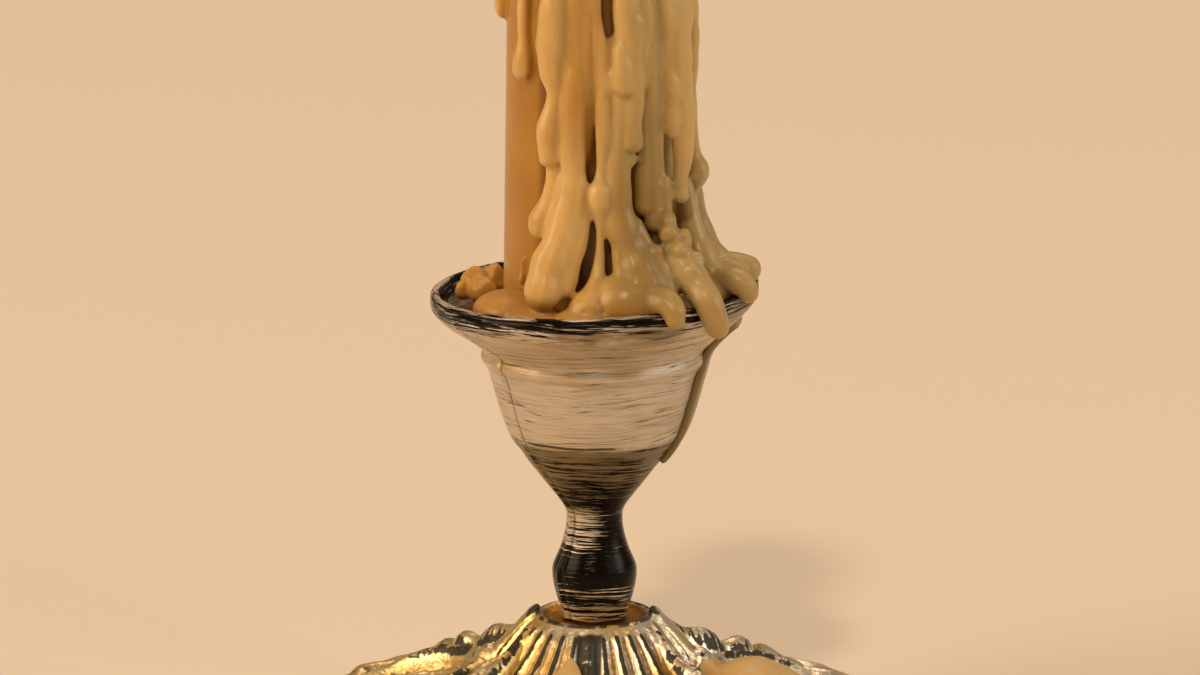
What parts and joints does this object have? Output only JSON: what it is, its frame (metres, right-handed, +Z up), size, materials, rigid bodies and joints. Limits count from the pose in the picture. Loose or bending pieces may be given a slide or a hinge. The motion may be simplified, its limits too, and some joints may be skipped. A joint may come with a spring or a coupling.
{
  "type": "melted candle",
  "caption": "Burnt-down dinner candle with heavy wax runs, fused into the cup of a small antiqued cast candlestick with an ornate base.",
  "frame": {"origin": "on the floor, centred under the candlestick's stem", "axes": "+Z up along the candle, -Y towards the front, where most of the wax has run, +X to the right seen from the front"},
  "size_m": [0.0834, 0.0772, 0.1075],
  "materials": {
    "wax": "ivory paraffin wax, satin and slightly see-through, amber where it is thick",
    "wick_cotton": "braided cotton, charred where it stands out of the wax",
    "brushed_silver": "silver paint dry-brushed over black, streaked round the cup, stem bulge glossy black",
    "leaf_metal": "shiny pale champagne metallic coat with dark green-black rubbed into the crests",
    "fixing_steel": "plain zinc-plated steel"
  },
  "bodies": {
    "root": {"wax_candle": "wax", "wick": "wick_cotton", "cup_and_stem": "brushed_silver", "base": "leaf_metal", "base_washer": "fixing_steel", "base_screw": "fixing_steel", "wax_splash_right": "wax", "wax_splash_front": "wax"}
  },
  "joints": []
}
